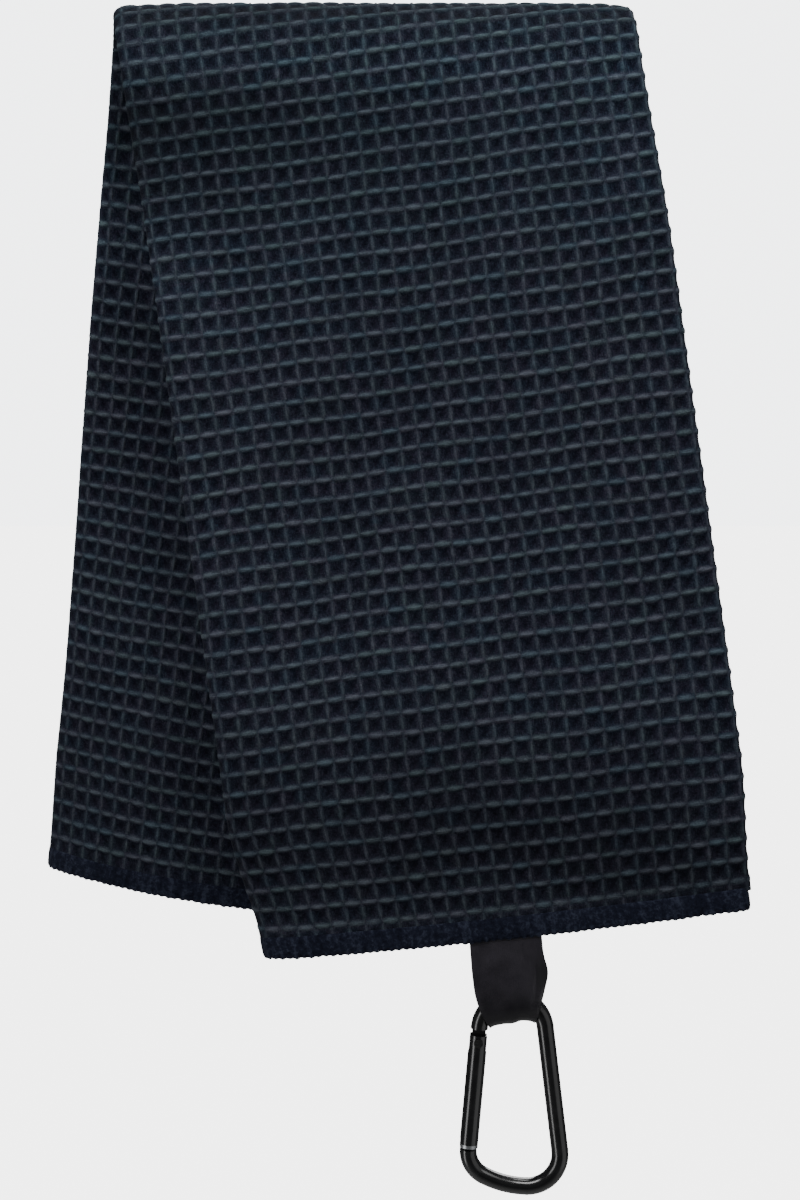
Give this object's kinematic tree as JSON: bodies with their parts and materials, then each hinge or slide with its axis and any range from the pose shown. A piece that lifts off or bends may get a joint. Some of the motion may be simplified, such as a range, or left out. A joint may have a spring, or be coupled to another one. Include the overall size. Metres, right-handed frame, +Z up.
{
  "type": "golf towel",
  "caption": "Waffle-weave golf towel folded in thirds and hung over a rail, with a ribbon loop at one end holding a small spring-gate carabiner",
  "frame": {"origin": "on the axis of the rail, at the middle of the fold", "axes": "+X along the rail, towards the side that the front leaf's lower end leans to; +Z up; the front leaf hangs on the -Y side"},
  "size_m": [0.1952, 0.0766, 0.3139],
  "materials": {
    "towel_cloth": "dark navy microfibre waffle",
    "towel_hem": "overlocked navy edge",
    "ribbon": "black satin",
    "carabiner_black": "gloss black",
    "carabiner_steel": "satin"
  },
  "bodies": {
    "fold": {"fold_left_flap": "towel_cloth", "fold_left_flap_hem": "towel_hem", "fold_right_flap": "towel_cloth", "fold_right_flap_hem": "towel_hem", "fold_middle_panel": "towel_cloth"},
    "front_leaf": {"front_middle_panel": "towel_cloth", "front_right_flap": "towel_cloth", "front_right_flap_hem": "towel_hem", "front_left_flap": "towel_cloth", "front_left_flap_hem": "towel_hem", "front_end_hem": "towel_hem"},
    "back_leaf": {"back_middle_panel": "towel_cloth", "back_right_flap": "towel_cloth", "back_right_flap_hem": "towel_hem", "back_left_flap": "towel_cloth", "back_left_flap_hem": "towel_hem", "back_end_hem": "towel_hem"},
    "ribbon": {"ribbon_loop": "ribbon"},
    "carabiner": {"carabiner_body": "carabiner_black", "gate_rivet": "carabiner_steel"},
    "gate": {"gate": "carabiner_black", "gate_spring": "carabiner_steel"},
    "plunger": {"gate_plunger": "carabiner_steel"}
  },
  "joints": [
    {"name": "front_leaf_lift", "type": "hinge", "parent": "fold", "child": "front_leaf", "pos_m": [0, 0, 0], "axis": [-1, 0, 0], "range_deg": [0, 40]},
    {"name": "back_leaf_lift", "type": "hinge", "parent": "fold", "child": "back_leaf", "pos_m": [0, 0, 0], "axis": [1, 0, 0], "range_deg": [0, 40]},
    {"name": "ribbon_swing", "type": "hinge", "parent": "front_leaf", "child": "ribbon", "pos_m": [0.03376, -0.02321, -0.23334], "axis": [0.9909, 0, 0.1349], "range_deg": [-45, 45]},
    {"name": "carabiner_swing", "type": "hinge", "parent": "ribbon", "child": "carabiner", "pos_m": [0.03608, -0.02321, -0.25039], "axis": [0.9909, 0, 0.1349], "range_deg": [-40, 40]},
    {"name": "gate_pivot", "type": "hinge", "parent": "carabiner", "child": "gate", "pos_m": [0.02759, -0.02321, -0.26042], "axis": [0, -1, 0], "range_deg": [0, 28], "stiffness_Nm_per_rad": 0.1, "springref_deg": -34.38},
    {"name": "plunger_slide", "type": "slide", "parent": "gate", "child": "plunger", "axis": [-0.0872, 0, -0.9962], "range_m": [0, 0.0012], "deforming": ["gate_spring"]}
  ],
  "couplings": [
    {"joint": "plunger_slide", "follows": "gate_pivot", "m_per_rad": 0.0016}
  ]
}
